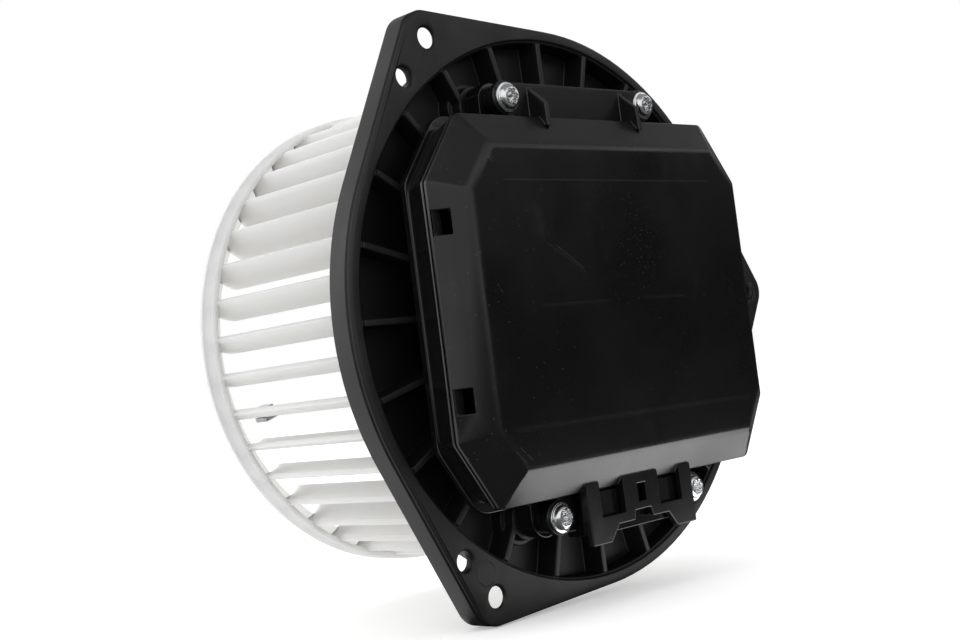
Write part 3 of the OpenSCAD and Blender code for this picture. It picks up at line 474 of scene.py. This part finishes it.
def wheel_plastic():
    """Milky plastic that lets some light through, with flow clouds and faint dust."""
    colour = tuple(looks().wheel_colour)
    rough = looks().wheel_roughness
    material, tree, shader, place = start("wheel_plastic", colour, rough)
    cloud = noise(tree, place, 40.0, 4.0, 0.5)
    fine = noise(tree, place, 1500.0, 2.0)
    base = blended(tree, cloud, brighter(colour, 0.955), brighter(colour, 1.03))
    specked = blended(
        tree, sums(tree, "MULTIPLY", specks(tree, place, 170.0, 0.045), 0.5 * looks().wear),
        base, (0.35, 0.33, 0.3))
    tree.links.new(specked, shader.inputs["Base Color"])
    tree.links.new(span(tree, cloud, 0.3, 0.7, rough - 0.06, rough + 0.08), shader.inputs["Roughness"])
    shader.inputs["Subsurface Weight"].default_value = 1.0
    shader.inputs["Subsurface Radius"].default_value = (1.0, 0.95, 0.85)
    shader.inputs["Subsurface Scale"].default_value = 0.02
    bumps(tree, shader, [(cloud, 0.00008), (fine, 0.000008)])
    return material


def speckled(name, colour, other, roughness, scale, depth, metallic=0.0):
    """Grainy finish that mixes two colours, as on ferrite, sintered metal or a lacquered board."""
    material, tree, shader, place = start(name, colour, roughness, metallic)
    grain = noise(tree, place, scale, 4.0)
    patches = noise(tree, place, scale * 0.08, 3.0)
    share = span(tree, grain, 0.42, 0.6)
    tree.links.new(blended(tree, share, colour, other), shader.inputs["Base Color"])
    tree.links.new(span(tree, patches, 0.3, 0.7, roughness - 0.06, roughness + 0.08), shader.inputs["Roughness"])
    bumps(tree, shader, [(grain, depth)])
    return material


def stacked_steel():
    """Stator sheets: fine dark lines between the sheets along X."""
    material, tree, shader, place = start("core_steel", (0.3, 0.31, 0.33), 0.42, 0.9)
    sheets = tree.nodes.new("ShaderNodeTexWave")
    sheets.inputs["Scale"].default_value = 0.314 / (0.5 * MM)
    tree.links.new(place, sheets.inputs["Vector"])
    cloud = noise(tree, place, 260.0, 3.0)
    dark = blended(tree, cloud, (0.2, 0.2, 0.21), (0.36, 0.37, 0.39))
    tree.links.new(dark, shader.inputs["Base Color"])
    tree.links.new(span(tree, cloud, 0.3, 0.7, 0.36, 0.5), shader.inputs["Roughness"])
    bumps(tree, shader, [(sheets.outputs["Fac"], 0.00006)])
    return material


MAKERS = {
    "black_plastic": flange_plastic,
    "cover_plastic": cover_plastic,
    "dark_plastic": lambda: black_plastic("dark_plastic", (0.004, 0.004, 0.0042), 0.13, 2600.0, 0.2)[0],
    "wheel_plastic": wheel_plastic,
    "bobbin_plastic": lambda: speckled(
        "bobbin_plastic", (0.7, 0.67, 0.55), (0.76, 0.73, 0.62), 0.45, 900.0, 0.00001),
    "zinc_steel": lambda: plain_metal("zinc_steel", tuple(looks().zinc_colour), 0.22, (80, 80, 80)),
    "bare_steel": lambda: plain_metal("bare_steel", (0.55, 0.56, 0.58), 0.26, (900, 40, 40), marks=0.5),
    "spring_steel": lambda: plain_metal("spring_steel", (0.62, 0.62, 0.63), 0.34, (60, 60, 60), marks=0.5),
    "core_steel": stacked_steel,
    "cast_aluminium": lambda: speckled(
        "cast_aluminium", (0.62, 0.63, 0.65), (0.7, 0.71, 0.72), 0.42, 1400.0, 0.00004, 1.0),
    "bronze": lambda: speckled("bronze", (0.52, 0.34, 0.15), (0.34, 0.21, 0.1), 0.4, 3200.0, 0.00002, 1.0),
    "copper": lambda: wire_wrap("copper", (0.62, 0.27, 0.11), 0.7 * MM),
    "terminal_metal": lambda: plain_metal("terminal_metal", (0.76, 0.7, 0.52), 0.25, (60, 60, 900)),
    "ferrite": lambda: speckled("ferrite", (0.035, 0.035, 0.038), (0.08, 0.08, 0.085), 0.55, 1800.0, 0.00003),
    "rubber": lambda: speckled("rubber", (0.012, 0.012, 0.012), (0.03, 0.03, 0.029), 0.72, 1200.0, 0.00002),
    "board": lambda: speckled("board", (0.012, 0.09, 0.035), (0.02, 0.15, 0.06), 0.3, 320.0, 0.00003),
    "component_black": lambda: speckled(
        "component_black", (0.012, 0.012, 0.012), (0.03, 0.03, 0.03), 0.5, 2400.0, 0.00001),
    "capacitor_can": lambda: speckled(
        "capacitor_can", (0.03, 0.035, 0.06), (0.05, 0.055, 0.085), 0.35, 700.0, 0.00001),
}


def finish(slot):
    """The material of a slot of the record, made the first time that it is asked for."""
    made = bpy.data.materials.get(FINISH_NAMES.get(slot, ""))
    if made is None:
        made = MAKERS[slot]()
        FINISH_NAMES[slot] = made.name
    return made


FINISH_NAMES = {}


def paint(nodes):
    """Gives CAD nodes the finish of their slots."""
    for name in nodes:
        mesh = NODES[name].data
        mesh.materials.clear()
        mesh.materials.append(finish(SLOT_OF[name]))


# Pieces

def alone(piece):
    """Selects one object only and makes it active."""
    bpy.ops.object.select_all(action="DESELECT")
    piece.select_set(True)
    bpy.context.view_layer.objects.active = piece


def copied(name, cad_node):
    """A copy of a CAD node's shape with its doubles merged."""
    piece = bpy.data.objects.new(name, NODES[cad_node].data.copy())
    bpy.context.scene.collection.objects.link(piece)
    alone(piece)
    bpy.ops.object.mode_set(mode="EDIT")
    bpy.ops.mesh.select_all(action="SELECT")
    bpy.ops.mesh.remove_doubles(threshold=0.000002)
    bpy.ops.object.mode_set(mode="OBJECT")
    return piece


def weigh(piece, rule, least_angle):
    """Gives each sharp edge the bevel weight that the rule returns for its two ends."""
    mesh = piece.data
    attribute = mesh.attributes.new("bevel_weight_edge", "FLOAT", "EDGE")
    faces = {}
    for polygon in mesh.polygons:
        for key in polygon.edge_keys:
            faces.setdefault(key, []).append(polygon.normal)
    for edge in mesh.edges:
        near = faces.get(edge.key, [])
        if len(near) == 2 and near[0].angle(near[1], 0) > least_angle:
            attribute.data[edge.index].value = rule(*(mesh.vertices[v].co for v in edge.vertices))


def round_edges(piece, width, rule=None, least_angle=25, segments=2, smooth_angle=38):
    """Bevels the sharp edges and shades the piece smooth between them."""
    alone(piece)
    weigh(piece, rule or (lambda a, b: 1.0), math.radians(least_angle))
    bevel = piece.modifiers.new("rounded", "BEVEL")
    bevel.limit_method = "WEIGHT"
    bevel.width = width
    bevel.segments = segments
    bevel.use_clamp_overlap = False
    bevel.loop_slide = False
    bpy.ops.object.modifier_apply(modifier="rounded")
    bpy.ops.object.shade_smooth_by_angle(angle=math.radians(smooth_angle))
    weighted = piece.modifiers.new("normals", "WEIGHTED_NORMAL")
    weighted.keep_sharp = True
    weighted.weight = 80
    bpy.ops.object.modifier_apply(modifier="normals")


def slide(piece, old_x, new_x, least_r, most_r=1.0):
    """Moves the points of a ring of a copy along X."""
    for vertex in piece.data.vertices:
        if abs(vertex.co.x - old_x) < 0.02 * MM and least_r < radius_of(vertex.co) < most_r:
            vertex.co.x = new_x


def ring(name, inner_r, outer_r, x, thickness):
    """A flat ring round the X axis with rounded edges, from x towards the motor."""
    bpy.ops.object.select_all(action="DESELECT")
    bpy.ops.mesh.primitive_circle_add(vertices=160, radius=inner_r)
    piece = bpy.context.active_object
    piece.name = name
    bpy.ops.object.mode_set(mode="EDIT")
    bpy.ops.mesh.select_all(action="SELECT")
    bpy.ops.mesh.extrude_region_move()
    bpy.ops.transform.resize(value=(outer_r / inner_r, outer_r / inner_r, 1))
    bpy.ops.mesh.select_all(action="SELECT")
    bpy.ops.mesh.extrude_region_move(TRANSFORM_OT_translate={"value": (0, 0, thickness)})
    bpy.ops.mesh.select_all(action="SELECT")
    bpy.ops.mesh.normals_make_consistent(inside=False)
    bpy.ops.object.mode_set(mode="OBJECT")
    piece.data.transform(Matrix.Translation((x, 0, 0)) @ Matrix.Rotation(math.pi / 2, 4, "Y"))
    round_edges(piece, 0.3 * MM, least_angle=40)
    return piece


def joined(first, second):
    """Joins the second piece to the first."""
    alone(first)
    second.select_set(True)
    bpy.ops.object.join()
    return first


def settle(piece, cad_node):
    """Gives a finished copy the finish of its node's slot, parents it to its node's body, and hides the node that it
    stands for.
    """
    piece.data.materials.clear()
    piece.data.materials.append(finish(SLOT_OF[cad_node]))
    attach(piece, BODY_OF[cad_node])
    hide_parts(cad_node)
    return piece


def radius_of(point):
    return math.hypot(point.y, point.z)


class BLOWER_OT_flange(Operator):
    """Mounting flange with a rounded rim and softened ribs"""

    bl_idname = "blower.flange"
    bl_label = "Mounting flange"

    def execute(self, context):
        rim, other = edges().flange_rim, edges().moulding

        def rule(a, b):
            on_face = abs(a.x) < 0.05 * MM and abs(b.x) < 0.05 * MM
            return 1.0 if on_face and min(radius_of(a), radius_of(b)) > FLANGE_R - MM else other / rim

        piece = copied("flange_moulding", "mounting_flange")
        slide(piece, -0.9 * MM, -1.2 * MM, FLANGE_R - MM)
        slide(piece, -2.1 * MM, -2.2 * MM, FLANGE_R - MM)
        round_edges(piece, rim, rule, least_angle=30)
        settle(piece, "mounting_flange")
        return {"FINISHED"}


class BLOWER_OT_cover(Operator):
    """Controller cover with soft plateau edges, ears and connector guard"""

    bl_idname = "blower.cover"
    bl_label = "Controller cover"

    def execute(self, context):
        values = edges()

        def rule(a, b):
            high = [abs(p.x - COVER_TOP_X) < 0.05 * MM for p in (a, b)]
            low = [abs(p.x - COVER_EDGE_X) < 0.05 * MM for p in (a, b)]
            if all(high):
                return 1.0
            if any(high) and any(low):
                return values.ridge / values.plateau
            return values.moulding / values.plateau

        piece = copied("cover_moulding", "controller_cover")
        round_edges(piece, values.plateau, rule, least_angle=17, segments=4, smooth_angle=30)
        settle(piece, "controller_cover")
        return {"FINISHED"}


class BLOWER_OT_base(Operator):
    """Controller base with its ledge, walls and lugs"""

    bl_idname = "blower.base"
    bl_label = "Controller base"

    def execute(self, context):
        piece = copied("base_moulding", "controller_base")
        round_edges(piece, edges().moulding, least_angle=17, smooth_angle=30)
        settle(piece, "controller_base")
        return {"FINISHED"}


class BLOWER_OT_connector(Operator):
    """Connector shell with its two sockets, and its pins"""

    bl_idname = "blower.connector"
    bl_label = "Connector"

    def execute(self, context):
        piece = copied("connector_shell", "connector_header")
        round_edges(piece, edges().moulding * 0.8)
        settle(piece, "connector_header")
        paint(["connector_pins"])
        return {"FINISHED"}


class BLOWER_OT_screws(Operator):
    """Cover screws with flange heads and six-lobed recesses"""

    bl_idname = "blower.screws"
    bl_label = "Cover screws"

    def execute(self, context):
        piece = copied("cover_screw_set", "cover_screws")
        round_edges(piece, edges().screw, least_angle=20, smooth_angle=40)
        settle(piece, "cover_screws")
        return {"FINISHED"}


class BLOWER_OT_wheel(Operator):
    """Milky squirrel-cage wheel with its hub, nut, washer and balance clip"""

    bl_idname = "blower.wheel"
    bl_label = "Fan wheel"

    def execute(self, context):
        piece = copied("wheel_moulding", "fan_wheel")
        slide(piece, BLADE_END_X, LIP_X + LIP_T - 0.05 * MM, 0, BAND_INNER_R + 0.5 * MM)
        round_edges(piece, edges().wheel, least_angle=40, smooth_angle=35)
        piece = joined(piece, ring("inlet_lip", LIP_INNER_R, BAND_INNER_R + 0.1 * MM, LIP_X, LIP_T))
        settle(piece, "fan_wheel")
        for name, cad_node in (("shaft_nut", "wheel_nut"), ("shaft_washer", "wheel_washer"),
                               ("weight_clip", "balance_clip")):
            small = copied(name, cad_node)
            round_edges(small, edges().screw)
            settle(small, cad_node)
        return {"FINISHED"}


class BLOWER_OT_motor(Operator):
    """Finishes of the motor's parts behind the flange"""

    bl_idname = "blower.motor"
    bl_label = "Motor"

    def execute(self, context):
        paint(["stator_carrier", "carrier_grommets", "carrier_screws", "rear_bearing", "front_bearing",
               "stator_core", "stator_insulators", "stator_windings", "phase_terminals", "motor_shaft",
               "rotor_cup", "rotor_magnets", "rotor_hub", "thrust_washers", "retaining_clip"])
        return {"FINISHED"}


class BLOWER_OT_controller(Operator):
    """Finishes of the speed controller's parts inside the cover"""

    bl_idname = "blower.controller"
    bl_label = "Speed controller"

    def execute(self, context):
        paint(["heat_sink", "heat_sink_screws", "power_transistors", "circuit_board", "board_screws",
               "capacitors", "choke_core", "choke_winding", "cover_seal"])
        return {"FINISHED"}


# Studio

def plain_emission(name, strength, diffuse=0.0):
    """A stage material that glows. Its diffuse argument is not used."""
    material = bpy.data.materials.new(name)
    material.use_nodes = True
    tree = material.node_tree
    tree.nodes.clear()
    glow = tree.nodes.new("ShaderNodeEmission")
    glow.inputs["Strength"].default_value = strength
    output = tree.nodes.new("ShaderNodeOutputMaterial")
    tree.links.new(glow.outputs["Emission"], output.inputs["Surface"])
    return material


def backdrop_rays(tree):
    """One for rays from the camera, a gloss or a see-through surface, and nought for the rest."""
    path = tree.nodes.new("ShaderNodeLightPath")
    first = sums(tree, "MAXIMUM", path.outputs["Is Camera Ray"], path.outputs["Is Glossy Ray"])
    return sums(tree, "MAXIMUM", first, path.outputs["Is Transmission Ray"])


def reflection_only(card):
    """A card that only reflections show."""
    card.visible_camera = False
    card.visible_diffuse = False
    card.visible_transmission = False
    card.visible_shadow = False
    card.visible_volume_scatter = False


def stage_plane(name, size, matrix, material):
    bpy.ops.object.select_all(action="DESELECT")
    bpy.ops.mesh.primitive_plane_add(size=1)
    card = bpy.context.active_object
    card.name = name
    card.data.transform(matrix @ Matrix.Diagonal((size[0], size[1], 1, 1)))
    card.data.materials.append(material)
    return card


def soft_box(name, place, aim, size, radiance):
    lamp = bpy.data.lights.new(name, "AREA")
    lamp.shape = "RECTANGLE"
    lamp.size, lamp.size_y = size
    lamp.energy = radiance * math.pi * size[0] * size[1]
    box = bpy.data.objects.new(name, lamp)
    bpy.context.scene.collection.objects.link(box)
    box.location = place
    box.rotation_euler = (Vector(aim) - Vector(place)).to_track_quat("-Z", "Y").to_euler()
    box.visible_camera = False
    return box


class BLOWER_OT_stage(Operator):
    """Pale floor, white surroundings, soft boxes and dark cards"""

    bl_idname = "blower.stage"
    bl_label = "Stage"

    def execute(self, context):
        values = studio()
        floor_z = CAD_LOW.z - 0.0003
        floor = bpy.data.materials.new("floor_white")
        floor.use_nodes = True
        tree = floor.node_tree
        tree.nodes.clear()
        matte = tree.nodes.new("ShaderNodeBsdfDiffuse")
        matte.inputs["Color"].default_value = (0.92, 0.92, 0.92, 1)
        glow = tree.nodes.new("ShaderNodeEmission")
        seen = tree.nodes.new("ShaderNodeLightPath").outputs["Is Camera Ray"]
        tree.links.new(sums(tree, "MULTIPLY", seen, 0.35), glow.inputs["Strength"])
        both = tree.nodes.new("ShaderNodeAddShader")
        gloss = tree.nodes.new("ShaderNodeLightPath").outputs["Is Glossy Ray"]
        grey = span(tree, gloss, 0, 1, 0.92, values.floor_gloss)
        tree.links.new(grey, matte.inputs["Color"])
        tree.links.new(matte.outputs["BSDF"], both.inputs[0])
        tree.links.new(glow.outputs["Emission"], both.inputs[1])
        output = tree.nodes.new("ShaderNodeOutputMaterial")
        tree.links.new(both.outputs["Shader"], output.inputs["Surface"])
        stage_plane("floor", (8, 8), Matrix.Translation((0, 0, floor_z)), floor)

        world = bpy.data.worlds.new("white_surroundings")
        context.scene.world = world
        world.use_nodes = True
        tree = world.node_tree
        tree.nodes.clear()
        sky = tree.nodes.new("ShaderNodeBackground")
        sky.inputs["Color"].default_value = (1, 1, 1, 1)
        strength = span(tree, backdrop_rays(tree), 0, 1, values.ambient, 1.0)
        tree.links.new(strength, sky.inputs["Strength"])
        output = tree.nodes.new("ShaderNodeOutputWorld")
        tree.links.new(sky.outputs["Background"], output.inputs["Surface"])

        side = ((-0.75, -0.8, 0.32), (0, 0, 0), (0.9, 0.8))
        soft_box("side_box", *side, values.key).visible_diffuse = False
        soft_box("side_fill", *side, values.fill).visible_glossy = False
        low_fill = soft_box("low_fill", (-0.12, -0.08, floor_z + 0.001), (-0.12, -0.08, 1), (0.3, 0.4), values.low_fill)
        low_fill.visible_glossy = False
        overhead = soft_box("top_box", (0.15, -0.15, 1.0), (0, 0, 0), (0.9, 0.9), values.top)
        overhead.visible_glossy = False

        dark = plain_emission("dark_card", 0.03)
        for azimuth in (30, 72, 114):
            a = math.radians(azimuth)
            turn = Matrix.Translation((0.75 * math.cos(a), 0.75 * math.sin(a), floor_z + 0.175))
            turn = turn @ Matrix.Rotation(a, 4, "Z") @ Matrix.Rotation(math.pi / 2, 4, "Y")
            reflection_only(stage_plane("card_%d" % azimuth, (0.34, 0.58), turn, dark))
        roof = Matrix.Translation((0.2, 0.45, 0.75))
        reflection_only(stage_plane("roof_card", (1.5, 1.7), roof, plain_emission("grey_card", values.roof)))
        behind = Matrix.Translation((-0.36, -0.3, floor_z + 0.0002))
        reflection_only(stage_plane("table_card", (0.7, 0.9), behind, plain_emission("pale_table", values.table)))
        panel = plain_emission("lit_table", values.low_panel)
        low = Matrix.Translation((0.043, 0.05, floor_z + 0.0002))
        reflection_only(stage_plane("low_panel", (0.05, 0.13), low, panel))
        context.scene.view_settings.view_transform = "Standard"
        return {"FINISHED"}


class BLOWER_OT_camera(Operator):
    """Camera at the photograph's angle"""

    bl_idname = "blower.camera"
    bl_label = "Camera"

    def execute(self, context):
        heading, elevation, roll = math.radians(45.97), math.radians(-2.22), math.radians(-7.25)
        target, distance = Vector((0, -0.0386, -0.0018)), 0.3993
        right = Vector((math.cos(heading), math.sin(heading), 0))
        back = Vector((math.sin(heading) * math.cos(elevation), -math.cos(heading) * math.cos(elevation),
                       math.sin(elevation)))
        up = back.cross(right)
        across = right * math.cos(roll) + up * math.sin(roll)
        upright = up * math.cos(roll) - right * math.sin(roll)
        data = bpy.data.cameras.new("photo_camera")
        data.lens = studio().lens
        data.sensor_width = 36.0
        data.clip_start, data.clip_end = 0.01, 50
        camera = bpy.data.objects.new("photo_camera", data)
        context.scene.collection.objects.link(camera)
        turn = Matrix((across, upright, back)).transposed().to_4x4()
        camera.matrix_world = Matrix.Translation(target + back * distance) @ turn
        context.scene.camera = camera
        return {"FINISHED"}


class BLOWER_PT_panel(Panel):
    """Lists the steps and values of the blower"""

    bl_label = "Cabin Blower"
    bl_idname = "BLOWER_PT_panel"
    bl_space_type = "VIEW_3D"
    bl_region_type = "UI"
    bl_category = "Blower"

    def draw(self, context):
        for operator in OPERATORS:
            self.layout.operator(operator.bl_idname)
        for group in (context.scene.blower_finish, context.scene.blower_edges, context.scene.blower_studio):
            for name in group.bl_rna.properties.keys():
                if name not in ("rna_type", "name"):
                    self.layout.prop(group, name)


GROUPS = (BlowerFinish, BlowerEdges, BlowerStudio)
OPERATORS = (BLOWER_OT_camera, BLOWER_OT_stage, BLOWER_OT_flange, BLOWER_OT_cover, BLOWER_OT_base,
             BLOWER_OT_connector, BLOWER_OT_screws, BLOWER_OT_wheel, BLOWER_OT_motor, BLOWER_OT_controller)


def register():
    for item in (*GROUPS, *OPERATORS, BLOWER_PT_panel):
        bpy.utils.register_class(item)
    bpy.types.Scene.blower_finish = PointerProperty(type=BlowerFinish)
    bpy.types.Scene.blower_edges = PointerProperty(type=BlowerEdges)
    bpy.types.Scene.blower_studio = PointerProperty(type=BlowerStudio)


def unregister():
    del bpy.types.Scene.blower_finish
    del bpy.types.Scene.blower_edges
    del bpy.types.Scene.blower_studio
    for item in reversed((*GROUPS, *OPERATORS, BLOWER_PT_panel)):
        bpy.utils.unregister_class(item)


def main():
    register()
    bpy.ops.blower.camera()
    bpy.ops.blower.stage()
    bpy.ops.blower.flange()
    bpy.ops.blower.cover()
    bpy.ops.blower.base()
    bpy.ops.blower.connector()
    bpy.ops.blower.screws()
    bpy.ops.blower.wheel()
    bpy.ops.blower.motor()
    bpy.ops.blower.controller()


if __name__ == "__main__":
    main()
